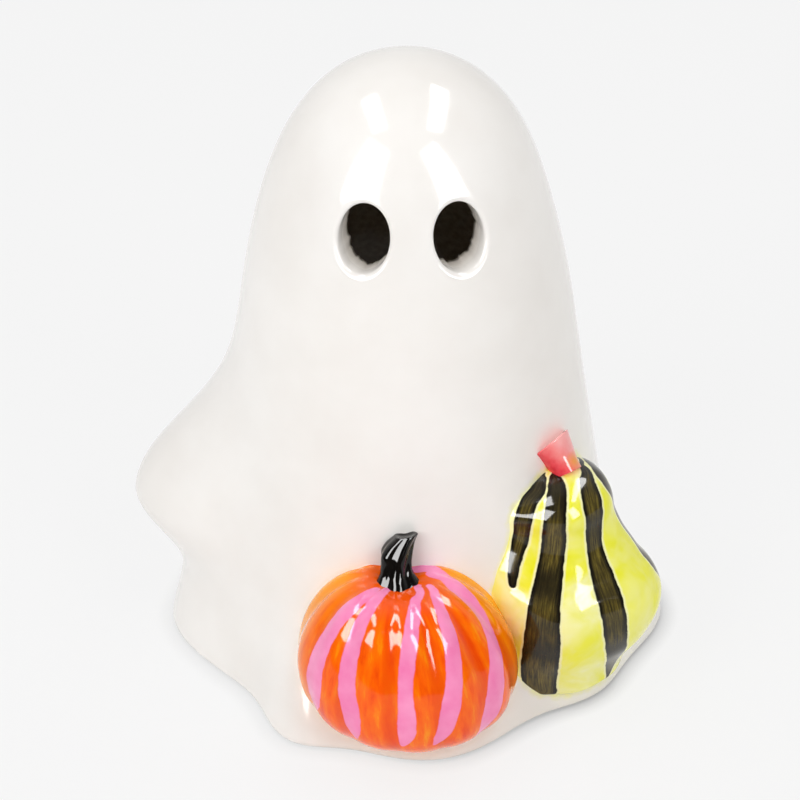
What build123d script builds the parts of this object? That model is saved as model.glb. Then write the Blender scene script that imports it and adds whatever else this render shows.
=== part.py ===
from build123d import *

import math
import os

# Glazed ceramic ghost ornament: a hollow sheet ghost with a pumpkin and a pear gourd luted to its skirt.
# Millimetres. Z is up, the face looks along -Y, and the origin is the middle of the footprint on the floor.
# Azimuths are in degrees round the body's axis, 0 at the front and growing toward +X.

# Body
HEIGHT = 140.0            # floor to the top of the head
CONE_RADIUS = 50.0        # the plain cone of the sheet where it meets the floor
CONE_TAPER = 0.16         # radius lost per millimetre of height
CROWN_POWER = 10.0        # the higher it is, the later and tighter the cone rounds into the head
WALL = 4.5                # cast wall
HEM_ROUND = 1.2           # outer edge of the foot
AXIS_X = 1.0              # body axis, set so that the whole ornament is centred on the origin
AXIS_Y = 9.4
HEAD_HEIGHT = 46.0        # the round head down from its top; the sheet below it carries the folds
SKIRT_SLICES = 12
OUTLINE_POINTS = 40
BACK = 180.0              # azimuth at which every outline of the sheet begins
HEAD_POINTS = 8

# Folds of the hem: azimuth, reach past the cone at the floor, spread, height the fold dies out over
UNDER_ARM_FOLD = (-82.0, 4.8, 20.0, 26.0)
LEFT_FOLD = (-26.0, 8.0, 12.0, 22.0)
PUMPKIN_FOLD = (5.0, 10.3, 23.0, 12.0)
GOURD_FOLD = (50.0, 5.5, 14.0, 14.0)
RIGHT_FOLD = (86.0, 10.2, 24.0, 16.0)
BACK_RIGHT_FOLD = (128.0, 5.0, 16.0, 34.0)
BACK_FOLD = (168.0, 4.0, 14.0, 30.0)
BACK_LEFT_FOLD = (-152.0, 5.5, 16.0, 34.0)
BEHIND_ARM_FOLD = (-118.0, 3.5, 13.0, 30.0)

# Raised arm under the sheet
ARM_AZIMUTH = -91.0
ARM_REACH = 16.6          # past the cone at the tip
ARM_HEIGHT = 33.5         # tip above the floor
ARM_RISE = 21.0           # how far up the swelling runs
ARM_DROP = 11.5           # how far down it runs
ARM_SPREAD = 24.0         # degrees either way

# Eyes
EYE_WIDTH = 11.2
EYE_HEIGHT = 14.2
EYE_BELOW_CROWN = 28.0
EYE_ROUND = 0.8           # soft outer lip of the hole
EYE_AZIMUTH = 19.8        # each side of the nose line
FACE_TURN = 2.1           # the face looks a touch to +X

# Pumpkin
PUMPKIN_RADIUS = 23.8
PUMPKIN_HALF_HEIGHT = 21.0
PUMPKIN_LIFT = 0.3        # lowest point of the full form above the floor
PUMPKIN_SET_IN = 2.1      # middle behind the foot of the cone
PUMPKIN_SIDE = 0.2
PUMPKIN_LEAN = -2.0       # crown to the side of the middle
PUMPKIN_RIBS = 13
PUMPKIN_GROOVE = 0.05     # share of the radius lost in a groove
PUMPKIN_SLICES = 10
PUMPKIN_SWING = 74.0      # degrees of latitude from the middle to the flats at foot and crown
DIMPLE_RADIUS = 7.0
DIMPLE_DEPTH = 2.6

# Pumpkin stem
STEM_HEIGHT = 12.0        # above the bottom of the dimple
STEM_ROOT = 4.7           # radius of the flared root
STEM_FLARE = 1.2          # height of the flared root
STEM_WAIST = 2.7
STEM_TIP = 3.0
STEM_KINK = -0.7          # waist to the side of the root
STEM_SWING = 1.5          # tip to the side of the root
STEM_RIDGES = 5
STEM_GROOVE = 0.22

# Pear gourd: how far round the foot of the cone its axis stands, and how far behind it
GOURD_ALONG = 45.1        # round the foot from the front, so that it keeps beside the pumpkin
GOURD_SET_IN = 2.5        # at the foot
GOURD_LEAN_IN = 6.2       # at the top
GOURD_LIFT = 2.5          # foot above the floor
GOURD_HEIGHT = 53.0
GOURD_PROFILE = [         # share of the height, radius there
    (0.00, 10.5),
    (0.04, 13.5),
    (0.13, 16.0),
    (0.28, 19.2),
    (0.45, 19.5),
    (0.62, 15.4),
    (0.78, 11.2),
    (0.92, 8.8),
    (1.00, 5.5),
]
GOURD_LOBES = 4
GOURD_GROOVE = 0.12
GOURD_TURN = -14.0        # azimuth of the lobe that faces the front

# Gourd stem, a stub that flares to a flat cut end
STUB_LENGTH = 7.5
STUB_ROOT = 3.0
STUB_END = 4.6
STUB_LEAN = 24.0          # degrees to -X
STUB_SIDES = 4
STUB_GROOVE = 0.14

# Seats
SEAT_DEPTH = 2.0          # how far a stem is let into its seat before the seat trims it
POINTS_PER_RIB = 8
CREASE_POWER = 1.5        # narrows the grooves between ribs

# Places that follow from the sizes above
BODY_AXIS = Axis((AXIS_X, AXIS_Y, 0.0), (0.0, 0.0, 1.0))
SKIRT_TOP = HEIGHT - HEAD_HEIGHT
PUMPKIN_X = AXIS_X + PUMPKIN_SIDE
PUMPKIN_Y = AXIS_Y - CONE_RADIUS + PUMPKIN_SET_IN
PUMPKIN_MIDDLE = PUMPKIN_LIFT + PUMPKIN_HALF_HEIGHT
DIMPLE_FLOOR = PUMPKIN_MIDDLE + PUMPKIN_HALF_HEIGHT - DIMPLE_DEPTH
DIMPLE_BALL = (DIMPLE_RADIUS**2 + DIMPLE_DEPTH**2) / (2.0 * DIMPLE_DEPTH)
GOURD_TOP = GOURD_LIFT + GOURD_HEIGHT
GOURD_AZIMUTH = math.degrees(GOURD_ALONG / CONE_RADIUS)
FOLDS = [
    UNDER_ARM_FOLD,
    LEFT_FOLD,
    PUMPKIN_FOLD,
    GOURD_FOLD,
    RIGHT_FOLD,
    BACK_RIGHT_FOLD,
    BACK_FOLD,
    BACK_LEFT_FOLD,
    BEHIND_ARM_FOLD,
]

os.makedirs("parts", exist_ok=True)


def bell(offset, width):
    """Smooth swelling, 1 in the middle and dying out past the width."""
    return math.exp(-((offset / width) ** 2))


def turn_between(azimuth, middle):
    """Signed angle from the middle to the azimuth, the short way round."""
    return (azimuth - middle + 180.0) % 360.0 - 180.0


def round_radius(height, inset):
    """Radius of the plain sheet: a cone that rounds into the head."""
    crown = HEIGHT - inset
    cone = CONE_RADIUS - inset - CONE_TAPER * height
    return cone * math.sqrt(max(0.0, 1.0 - (max(0.0, height) / crown) ** CROWN_POWER))


def sheet_radius(height, azimuth, inset):
    """Radius of the sheet with its folds and its raised arm."""
    radius = round_radius(height, inset)
    for middle, reach, spread, fade in FOLDS:
        radius += reach * bell(turn_between(azimuth, middle), spread) * bell(height, fade)
    run = ARM_RISE if height > ARM_HEIGHT else ARM_DROP
    arm = bell(turn_between(azimuth, ARM_AZIMUTH), ARM_SPREAD) * bell(height - ARM_HEIGHT, run)
    return radius + ARM_REACH * arm


def sheet_slice(height, inset):
    """One level slice of the sheet, drawn round the body axis."""
    points = []
    for step in range(OUTLINE_POINTS):
        azimuth = BACK + 360.0 * step / OUTLINE_POINTS
        radius = sheet_radius(height, azimuth, inset)
        points.append((radius * math.sin(math.radians(azimuth)), -radius * math.cos(math.radians(azimuth))))
    with BuildSketch(Plane((AXIS_X, AXIS_Y, height))) as outline:
        with BuildLine():
            Spline(*points, periodic=True)
        make_face()
    return outline.sketch


def head_profile(inset):
    """Half outline of the round head from the top of the skirt to the crown, turned about the body axis."""
    crown = HEIGHT - inset
    points = []
    for step in range(1, HEAD_POINTS):
        height = crown - (crown - SKIRT_TOP) * (1.0 - step / HEAD_POINTS) ** 2
        points.append((round_radius(height, inset), height))
    start = (round_radius(SKIRT_TOP, inset), SKIRT_TOP)
    with BuildSketch(Plane((AXIS_X, AXIS_Y, 0.0), x_dir=(0, 1, 0), z_dir=(1, 0, 0))) as outline:
        with BuildLine():
            Spline(start, *points, (0.0, crown))
            Polyline((0.0, crown), (0.0, SKIRT_TOP), start)
        make_face()
    return outline.sketch


def ribbed_slice(plane, radius, ribs, groove, turn):
    """One slice of a ribbed form: full radius on each rib, shorter in the grooves between."""
    steps = ribs * POINTS_PER_RIB
    points = []
    for step in range(steps):
        angle = 2.0 * math.pi * step / steps
        dip = (0.5 - 0.5 * math.cos(ribs * angle)) ** CREASE_POWER
        reach = radius * (1.0 - groove * dip)
        points.append((reach * math.sin(angle + turn), -reach * math.cos(angle + turn)))
    with BuildSketch(plane) as outline:
        with BuildLine():
            Spline(*points, periodic=True)
        make_face()
    return outline.sketch


def neck_slice(inset):
    """The round slice on which the head stands, begun at the back like the others."""
    with BuildSketch(Plane((AXIS_X, AXIS_Y, SKIRT_TOP), x_dir=(0, 1, 0), z_dir=(0, 0, 1))) as outline:
        Circle(round_radius(SKIRT_TOP, inset))
    return outline.sketch


def skirt_slices(inset):
    """Level slices of the sheet from the floor to the top of the skirt."""
    slices = []
    for step in range(SKIRT_SLICES):
        slices.append(sheet_slice(SKIRT_TOP * step / SKIRT_SLICES, inset))
    slices.append(neck_slice(inset))
    return slices


def pumpkin_slice(latitude):
    """One level slice of the pumpkin, given as a latitude between its foot and its crown."""
    rise = math.sin(math.radians(latitude))
    level = Plane(
        (
            PUMPKIN_X + PUMPKIN_LEAN * rise,
            PUMPKIN_Y,
            PUMPKIN_MIDDLE + PUMPKIN_HALF_HEIGHT * rise,
        )
    )
    radius = PUMPKIN_RADIUS * math.cos(math.radians(latitude))
    return ribbed_slice(level, radius, PUMPKIN_RIBS, PUMPKIN_GROOVE, 0.0)


def stem_slice(rise, radius, shift):
    """One level slice of the pumpkin's stem, above the bottom of the dimple."""
    level = Plane((PUMPKIN_X + PUMPKIN_LEAN + shift, PUMPKIN_Y, DIMPLE_FLOOR + rise))
    return ribbed_slice(level, radius, STEM_RIDGES, STEM_GROOVE, 0.0)


def gourd_axis(share):
    """Middle of the gourd in plan at a share of its height: its axis leans in toward the sheet."""
    reach = CONE_RADIUS - GOURD_SET_IN - (GOURD_LEAN_IN - GOURD_SET_IN) * share
    azimuth = math.radians(GOURD_AZIMUTH)
    return AXIS_X + reach * math.sin(azimuth), AXIS_Y - reach * math.cos(azimuth)


def gourd_slice(share, radius):
    """One level slice of the gourd at a share of its height."""
    level = Plane((*gourd_axis(share), GOURD_LIFT + GOURD_HEIGHT * share))
    return ribbed_slice(level, radius, GOURD_LOBES, GOURD_GROOVE, math.radians(GOURD_TURN))


def stub_slice(run, radius):
    """One slice across the gourd's stem, measured along its lean from the top of the gourd."""
    lean = math.radians(STUB_LEAN)
    top_x, top_y = gourd_axis(1.0)
    across = Plane(
        origin=(top_x - run * math.sin(lean), top_y, GOURD_TOP + run * math.cos(lean)),
        x_dir=(math.cos(lean), 0.0, math.sin(lean)),
        z_dir=(-math.sin(lean), 0.0, math.cos(lean)),
    )
    return ribbed_slice(across, radius, STUB_SIDES, STUB_GROOVE, 0.0)


# Sheet as a solid block, which shapes the seats of everything luted to it
with BuildPart() as sheet_block:
    loft(skirt_slices(0.0))
    revolve(head_profile(0.0), axis=BODY_AXIS)

# Hollow left inside the cast wall, open at the floor
with BuildPart() as sheet_hollow:
    loft([sheet_slice(-WALL, WALL)] + skirt_slices(WALL))
    revolve(head_profile(WALL), axis=BODY_AXIS)

# Ghost body: the cast wall with two eyes cut level through it
with BuildPart() as ghost_body:
    add(sheet_block.part)
    add(sheet_hollow.part, mode=Mode.SUBTRACT)
    for side in (-1, 1):
        eye = math.radians(FACE_TURN + side * EYE_AZIMUTH)
        eye_line = Plane(
            origin=(AXIS_X, AXIS_Y, HEIGHT - EYE_BELOW_CROWN),
            x_dir=(math.cos(eye), math.sin(eye), 0.0),
            z_dir=(math.sin(eye), -math.cos(eye), 0.0),
        )
        with BuildSketch(eye_line):
            Ellipse(EYE_WIDTH / 2.0, EYE_HEIGHT / 2.0)
        extrude(amount=CONE_RADIUS, mode=Mode.SUBTRACT)
    fillet(ghost_body.faces().sort_by(Axis.Z)[0].outer_wire().edges(), HEM_ROUND)
    eye_bottom = HEIGHT - EYE_BELOW_CROWN - EYE_HEIGHT
    head_edges = ghost_body.edges().filter_by_position(Axis.Z, eye_bottom, HEIGHT)
    eye_rims = head_edges.filter_by(lambda rim: rim.is_closed).sort_by(Axis.Y)
    fillet(eye_rims[:2], EYE_ROUND)
ghost_body.part.label = "ghost_body"
export_step(ghost_body.part, "parts/ghost_body.step")

# Pumpkin: ribbed, with a dimple at the crown and a back that follows the sheet it is luted to
pumpkin_slices = []
for step in range(PUMPKIN_SLICES + 1):
    pumpkin_slices.append(pumpkin_slice(PUMPKIN_SWING * (2.0 * step / PUMPKIN_SLICES - 1.0)))
with BuildPart() as pumpkin:
    loft(pumpkin_slices)
    with Locations((PUMPKIN_X + PUMPKIN_LEAN, PUMPKIN_Y, DIMPLE_FLOOR + DIMPLE_BALL)):
        Sphere(DIMPLE_BALL, mode=Mode.SUBTRACT)
    add(sheet_block.part, mode=Mode.SUBTRACT)
pumpkin.part.label = "pumpkin"
export_step(pumpkin.part, "parts/pumpkin.step")

# Pumpkin stem: ridged, flared at the root, bent to one side, trimmed to the dimple and to the sheet
with BuildPart() as pumpkin_stem:
    loft(
        [
            stem_slice(-SEAT_DEPTH, STEM_ROOT, 0.0),
            stem_slice(STEM_FLARE, STEM_ROOT, 0.0),
            stem_slice(STEM_HEIGHT / 2.0, STEM_WAIST, STEM_KINK),
            stem_slice(STEM_HEIGHT, STEM_TIP, STEM_SWING),
        ]
    )
    add(pumpkin.part, mode=Mode.SUBTRACT)
    add(sheet_block.part, mode=Mode.SUBTRACT)
pumpkin_stem.part.label = "pumpkin_stem"
export_step(pumpkin_stem.part, "parts/pumpkin_stem.step")

# Gourd: lobed, on a leaning axis, with a back that follows the sheet
with BuildPart() as gourd:
    loft([gourd_slice(share, radius) for share, radius in GOURD_PROFILE])
    add(sheet_block.part, mode=Mode.SUBTRACT)
gourd.part.label = "gourd"
export_step(gourd.part, "parts/gourd.step")

# Gourd stem: a stub that leans aside, trimmed to the gourd and to the sheet
with BuildPart() as gourd_stem:
    loft(
        [
            stub_slice(-SEAT_DEPTH, STUB_ROOT),
            stub_slice(STUB_LENGTH / 2.0, STUB_ROOT),
            stub_slice(STUB_LENGTH, STUB_END),
        ]
    )
    add(gourd.part, mode=Mode.SUBTRACT)
    add(sheet_block.part, mode=Mode.SUBTRACT)
gourd_stem.part.label = "gourd_stem"
export_step(gourd_stem.part, "parts/gourd_stem.step")
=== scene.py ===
# %% [markdown]
# # A glazed ceramic ghost
# The real thing is a hollow ghost cast in white clay. A small pumpkin and a pear-shaped gourd, each with
# its own stem, are luted to the hem of its sheet, painted with a brush and glazed to a wet shine.
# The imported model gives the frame: every piece made here stands where its CAD part stands.

# %% Load the frame
import math
import bpy
import numpy as np
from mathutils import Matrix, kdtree


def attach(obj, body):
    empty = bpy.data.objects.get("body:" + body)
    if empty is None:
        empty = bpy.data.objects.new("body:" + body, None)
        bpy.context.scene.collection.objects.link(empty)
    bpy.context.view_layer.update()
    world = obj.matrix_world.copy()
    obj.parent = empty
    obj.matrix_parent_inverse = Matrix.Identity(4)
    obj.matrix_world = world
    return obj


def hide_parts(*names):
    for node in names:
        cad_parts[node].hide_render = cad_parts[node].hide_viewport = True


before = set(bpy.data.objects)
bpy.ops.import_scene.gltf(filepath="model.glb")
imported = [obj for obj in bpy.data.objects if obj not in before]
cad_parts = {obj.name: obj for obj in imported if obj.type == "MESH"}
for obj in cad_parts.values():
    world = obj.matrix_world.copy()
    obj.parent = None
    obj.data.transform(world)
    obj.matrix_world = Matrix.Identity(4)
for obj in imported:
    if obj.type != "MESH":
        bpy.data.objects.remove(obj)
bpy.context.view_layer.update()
MM = 0.001
print("CAD parts:", ", ".join(sorted(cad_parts)))

# %% [markdown]
# ## The sheet as a rule
# The ghost is a cone that rounds into a head, with swellings for the folds of the hem and for the arm
# under the sheet. It could be sculpted, but a rule for the radius at each height and azimuth gives a clean
# surface, and the pumpkin and the gourd can be pressed against the same rule later. Sizes are millimetres,
# azimuths are degrees round the body's axis, 0 at the face and growing toward +X.

# %% Radius of the sheet
HEIGHT = 140.0
CONE_RADIUS = 50.0
CONE_TAPER = 0.16
CROWN_POWER = 10.0
WALL = 4.5
AXIS_X, AXIS_Y = 1.0, 9.4
FOLDS = [  # azimuth, reach past the cone at the floor, spread, height the fold dies out over
    (-82.0, 4.8, 20.0, 26.0),
    (-26.0, 8.0, 12.0, 22.0),
    (5.0, 10.3, 23.0, 12.0),
    (50.0, 5.5, 14.0, 14.0),
    (86.0, 10.2, 24.0, 16.0),
    (128.0, 5.0, 16.0, 34.0),
    (168.0, 4.0, 14.0, 30.0),
    (-152.0, 5.5, 16.0, 34.0),
    (-118.0, 3.5, 13.0, 30.0),
]
ARM_AZIMUTH, ARM_REACH, ARM_SPREAD = -91.0, 16.6, 24.0
ARM_HEIGHT, ARM_RISE, ARM_DROP = 33.5, 21.0, 11.5
HAND_WOBBLE = 0.16  # the clay was smoothed by hand, so no reflection runs quite straight


def bell(offset, width):
    """Smooth swelling, 1 in the middle and dying out past the width."""
    return np.exp(-np.square(offset / width))


def turn_between(azimuth, middle):
    """Signed angle from the middle to the azimuth, the short way round."""
    return (azimuth - middle + 180.0) % 360.0 - 180.0


def round_radius(height, inset):
    """Radius of the plain sheet: a cone that rounds into the head."""
    crown = HEIGHT - inset
    cone = CONE_RADIUS - inset - CONE_TAPER * height
    return cone * np.sqrt(1.0 - (np.clip(height, 0.0, crown) / crown) ** CROWN_POWER)


def sheet_radius(height, azimuth, inset=0.0):
    """Radius of the sheet with its folds, its raised arm and the wobble of a hand."""
    radius = round_radius(height, inset)
    for middle, reach, spread, fade in FOLDS:
        radius = radius + reach * bell(turn_between(azimuth, middle), spread) * bell(height, fade)
    run = np.where(height > ARM_HEIGHT, ARM_RISE, ARM_DROP)
    arm = ARM_REACH * bell(turn_between(azimuth, ARM_AZIMUTH), ARM_SPREAD) * bell(height - ARM_HEIGHT, run)
    turn = np.radians(azimuth)
    wave = np.sin(3.0 * turn + height / 17.0) + np.sin(5.0 * turn - height / 11.0 + 1.0)
    wave = wave + np.sin(height / 7.5 + 2.0)
    return radius + arm + HAND_WOBBLE * wave * (1.0 - (np.clip(height, 0.0, HEIGHT) / HEIGHT) ** 6)


def on_sheet(height, azimuth, inset=0.0):
    """Points of the sheet, or of its inner wall when an inset is given."""
    radius = sheet_radius(height, azimuth, inset)
    turn = np.radians(azimuth)
    aside, ahead = radius * np.sin(turn), radius * np.cos(turn)
    return np.stack([AXIS_X + aside, AXIS_Y - ahead, height + 0.0 * radius], axis=-1)


print("foot of the sheet at the arm: %.1f mm" % sheet_radius(0.0, ARM_AZIMUTH))

# %% [markdown]
# ## Helpers
# One function makes a mesh object from points in millimetres, and one adds a node with its settings and
# links. There, a node given as a value stands for its first output in use. Colours are written as sRGB hex
# values, as in a paint chart, and turned to linear light once.

# %% Mesh, node and colour helpers
COLOURS = {"data_type": "RGBA"}  # settings that many nodes share
SMOOTH = {"interpolation_type": "SMOOTHSTEP"}


def make_piece(name, points, faces, values):
    """A smooth mesh object from points in millimetres, with one float attribute for each entry of values."""
    mesh = bpy.data.meshes.new(name)
    mesh.from_pydata((np.asarray(points) * MM).tolist(), [], faces)
    mesh.update()
    mesh.shade_smooth()
    piece = bpy.data.objects.new(name, mesh)
    bpy.context.scene.collection.objects.link(piece)
    store_values(mesh, values)
    return piece


def store_values(mesh, values):
    """Writes per-point numbers that the paint reads."""
    for label, numbers in values.items():
        layer = mesh.attributes.new(label, "FLOAT", "POINT")
        layer.data.foreach_set("value", np.asarray(numbers, dtype=np.float32))


def first_output(node):
    """The first output that a node's settings leave in use."""
    return next(socket for socket in node.outputs if socket.enabled)


def add(tree, kind, settings=None, inputs=None):
    """Adds a node, sets its properties, and fills its sockets with values or with other nodes' outputs."""
    node = tree.nodes.new(kind)
    for key, value in (settings or {}).items():
        setattr(node, key, value)
    for key, value in (inputs or {}).items():
        if isinstance(value, bpy.types.Node):
            value = first_output(value)
        if isinstance(value, bpy.types.NodeSocket):
            tree.links.new(value, node.inputs[key])
        else:
            node.inputs[key].default_value = value
    return node


def paint(code):
    """An sRGB hex colour as linear RGBA."""
    parts = [int(code[k:k + 2], 16) / 255.0 for k in (1, 3, 5)]
    return [p / 12.92 if p <= 0.04045 else ((p + 0.055) / 1.055) ** 2.4 for p in parts] + [1.0]


def set_ramp(node, stops):
    """Gives a colour ramp its stops: position and hex colour."""
    ramp = node.color_ramp
    while len(ramp.elements) < len(stops):
        ramp.elements.new(0.5)
    for element, (place, colour) in zip(ramp.elements, stops):
        element.position = place
        element.color = paint(colour)


def new_material(name):
    """A material and its empty node tree."""
    material = bpy.data.materials.new(name)
    material.use_nodes = True
    material.node_tree.nodes.clear()
    return material, material.node_tree


print("paint #808080 is", [round(c, 3) for c in paint("#808080")])

# %% [markdown]
# ## The ghost's wall
# The body was slip-cast: a wall about 4.5 mm thick, open underneath, with two eyes cut through while the
# clay was soft. A boolean cut would leave long thin faces round the eyes, which show up in a gloss glaze.
# So the grid of the sheet leaves out a window at each eye, and rings lead from the window's edge
# to the soft lip, through the wall and out into the inner wall.

# %% Rows, columns and eye windows
AROUND = 240
UP = 150
FINE_STEPS = 4001  # places along the outline to measure it by
HEM_ROUND = 1.7
EYE_HALF_WIDTH, EYE_HALF_HEIGHT = 5.6, 7.1
EYE_LEVEL = HEIGHT - 28.0
FACE_TURN, EYE_APART = 2.1, 19.8
EYE_AZIMUTHS = (FACE_TURN - EYE_APART, FACE_TURN + EYE_APART)
EYE_LIP = 1.1
EYE_BURR = 1.8  # clay pushed through by the knife and left standing inside
WINDOW_TURN = 17.0
WINDOW_LOW, WINDOW_HIGH = 99.0, 126.0


def row_heights(inset, low):
    """Heights of the grid's rows, equally far apart along the plain outline from the foot to the crown."""
    crown = HEIGHT - inset
    heights = low + (crown - low) * (1.0 - (1.0 - np.linspace(0.0, 1.0, FINE_STEPS)) ** 3)
    radii = round_radius(heights, inset)
    run = np.concatenate([[0.0], np.cumsum(np.hypot(np.diff(heights), np.diff(radii)))])
    return np.interp(np.linspace(0.0, run[-1], UP + 1), run, heights)


azimuths = np.arange(AROUND) * 360.0 / AROUND - 180.0
outer_rows = row_heights(0.0, HEM_ROUND)
inner_rows = row_heights(WALL, 0.0)
window_rows = (int(np.searchsorted(outer_rows, WINDOW_LOW)), int(np.searchsorted(outer_rows, WINDOW_HIGH)))
window_columns = []
for middle in EYE_AZIMUTHS:
    window_columns.append([int(np.searchsorted(azimuths, middle + side * WINDOW_TURN)) for side in (-1, 1)])
print("eye windows: rows", window_rows, "columns", window_columns)

# %% Points of both walls
points = []
glaze = []


def add_points(block, cover):
    """Adds a block of points and how much glaze covers them, and gives back their numbers."""
    first = sum(len(p) for p in points)
    flat = np.reshape(block, (-1, 3))
    points.append(flat)
    glaze.append(np.zeros(len(flat)) + np.reshape(cover, -1))
    return np.reshape(np.arange(first, first + len(flat)), np.shape(block)[:-1])


row_grid, turn_grid = np.meshgrid(outer_rows[:-1], azimuths, indexing="ij")
outer_grid = add_points(on_sheet(row_grid, turn_grid), 1.0)
outer_pole = int(add_points(np.array([[AXIS_X, AXIS_Y, HEIGHT]]), 1.0)[0])
row_grid, turn_grid = np.meshgrid(inner_rows[:-1], azimuths, indexing="ij")
inner_grid = add_points(on_sheet(row_grid, turn_grid, WALL), 0.0)
inner_pole = int(add_points(np.array([[AXIS_X, AXIS_Y, HEIGHT - WALL]]), 0.0)[0])

# %% Faces of both walls, without the windows
faces = []
open_cells = np.zeros((UP - 1, AROUND), dtype=bool)
for left, right in window_columns:
    open_cells[window_rows[0]:window_rows[1], left:right] = True
for grid, pole, flip in ((outer_grid, outer_pole, 1), (inner_grid, inner_pole, -1)):
    beside = np.roll(grid, -1, axis=1)
    cells = np.stack([grid[:-1], beside[:-1], beside[1:], grid[1:]], axis=-1)[~open_cells]
    faces += [tuple(cell[::flip]) for cell in cells.tolist()]
    for a, b in zip(grid[-1].tolist(), beside[-1].tolist()):
        faces.append((a, b, pole)[::flip])
print("wall faces:", len(faces))

# %% [markdown]
# The hem rolls under to a narrow foot. Rings of points follow a quarter round and then the flat foot,
# which the potter wiped clean so that the ghost would not stick to the kiln shelf.

# %% Hem and foot
HEM_STEPS = 7
GLAZED_STEPS = 5  # the last rings and the foot were wiped clean


def ring_quads(near, far):
    """Faces between two rings of point numbers."""
    return np.stack([near, np.roll(near, -1), np.roll(far, -1), far], axis=-1).tolist()


turn = np.radians(azimuths)
inward = np.stack([-np.sin(turn), np.cos(turn), 0.0 * turn], axis=-1)
ring = outer_grid[0]
for step in range(1, HEM_STEPS + 1):
    angle = math.radians(90.0 * step / HEM_STEPS)
    height = HEM_ROUND * (1.0 - math.sin(angle))
    block = on_sheet(np.full(AROUND, height), azimuths) + inward * HEM_ROUND * (1.0 - math.cos(angle))
    lower = add_points(block, 1.0 if step <= GLAZED_STEPS else 0.0)
    faces += ring_quads(lower, ring)
    ring = lower
faces += ring_quads(inner_grid[0], ring)
print("faces with the hem:", len(faces))

# %% [markdown]
# Each eye was cut with a small knife through leather-hard clay and its outer edge wiped soft with a
# sponge, while the inner edge stayed ragged. The ring of points on the inside is therefore pushed in and
# out a little.

# %% Eyes
WINDOW_STEPS, LIP_STEPS, CUT_STEPS, BACK_STEPS = 9, 6, 5, 7  # rings on each part of the way in
SLOW_RAG, FAST_RAG, NICK = 0.22, 0.12, 0.35  # millimetres that the inner edge strays
for number, (middle, (left, right)) in enumerate(zip(EYE_AZIMUTHS, window_columns)):
    low, high = window_rows
    wide, tall = right - left, high - low
    rows = np.array([low] * wide + list(range(low, high)) + [high] * wide + list(range(high, low, -1)))
    columns = np.array(list(range(left, right)) + [right] * tall + list(range(right, left, -1)) + [left] * tall)
    inward = np.array([-math.sin(math.radians(middle)), math.cos(math.radians(middle)), 0.0])

    def eye_place(around, grow, inset):
        """Height and azimuth of the eye's outline, grown by some millimetres, on one of the walls."""
        aside = (EYE_HALF_WIDTH + grow) * np.cos(around)
        height = EYE_LEVEL + (EYE_HALF_HEIGHT + grow) * np.sin(around)
        return height, middle + np.degrees(np.arcsin(aside / round_radius(height, inset)))

    start_height, start_turn = outer_rows[rows], azimuths[columns]
    aside = round_radius(start_height, 0.0) * np.sin(np.radians(start_turn - middle))
    around = np.arctan2((start_height - EYE_LEVEL) / EYE_HALF_HEIGHT, aside / EYE_HALF_WIDTH)
    rings = [outer_grid[rows, columns]]
    lip_height, lip_turn = eye_place(around, EYE_LIP, 0.0)
    for step in range(1, WINDOW_STEPS + 1):
        part = step / WINDOW_STEPS
        height = start_height + (lip_height - start_height) * part
        rings.append(add_points(on_sheet(height, start_turn + (lip_turn - start_turn) * part), 1.0))
    for step in range(1, LIP_STEPS + 1):
        angle = math.radians(90.0 * step / LIP_STEPS)
        height, turn = eye_place(around, EYE_LIP * (1.0 - math.sin(angle)), 0.0)
        rings.append(add_points(on_sheet(height, turn) + inward * EYE_LIP * (1.0 - math.cos(angle)), 1.0))
    edge = on_sheet(height, turn) + inward * EYE_LIP
    nicks = np.maximum(0.0, np.sin(7.0 * around + 1.7 * number)) ** 8
    nicks = nicks - np.maximum(0.0, np.sin(9.0 * around + 0.6)) ** 10
    ragged = SLOW_RAG * np.sin(3.0 * around + 2.0 * number) + FAST_RAG * np.sin(8.0 * around + number)
    ragged = ragged + NICK * nicks
    height, turn = eye_place(around, ragged, WALL + EYE_BURR)
    inner_edge = on_sheet(height, turn, WALL + EYE_BURR)
    # Through the cut the glaze share falls toward the darkened clay colour, which is painted shade in the eyes.
    for step in range(1, CUT_STEPS + 1):
        rings.append(add_points(edge + (inner_edge - edge) * step / CUT_STEPS, 1.0 - 0.12 * step))
    far_height, far_turn = inner_rows[rows], azimuths[columns]
    for step in range(1, BACK_STEPS):
        part = step / BACK_STEPS
        inset = WALL + EYE_BURR * (1.0 - part) ** 4
        block = on_sheet(height + (far_height - height) * part, turn + (far_turn - turn) * part, inset)
        rings.append(add_points(block, 0.0))
    rings.append(inner_grid[rows, columns])
    for near, far in zip(rings[:-1], rings[1:]):
        faces += ring_quads(near, far)
print("faces with the eyes:", len(faces))

# %% Put the ghost together
all_points = np.concatenate(points)
all_glaze = np.concatenate(glaze)
used = np.unique(np.concatenate([np.array(f) for f in faces]))
renumber = np.zeros(len(all_points), dtype=int)
renumber[used] = np.arange(len(used))
faces = [tuple(renumber[list(f)].tolist()) for f in faces]
ghost_points = all_points[used]
ghost = make_piece("ghost_body_glazed", ghost_points, faces, {"glaze": all_glaze[used]})
print("ghost:", len(ghost.data.vertices), "points,", len(faces), "faces")

# %% [markdown]
# ## The pumpkin
# A ribbed pumpkin follows a rule: a flattened ball whose radius dips between ribs, with a hollow at the
# crown and a fuller shoulder in front. Geometry Nodes bend a flat grid into that shape, so rib count, groove
# and sizes stay inputs that can be turned like dials. The grid's own coordinates become the turn and the
# latitude.

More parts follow.
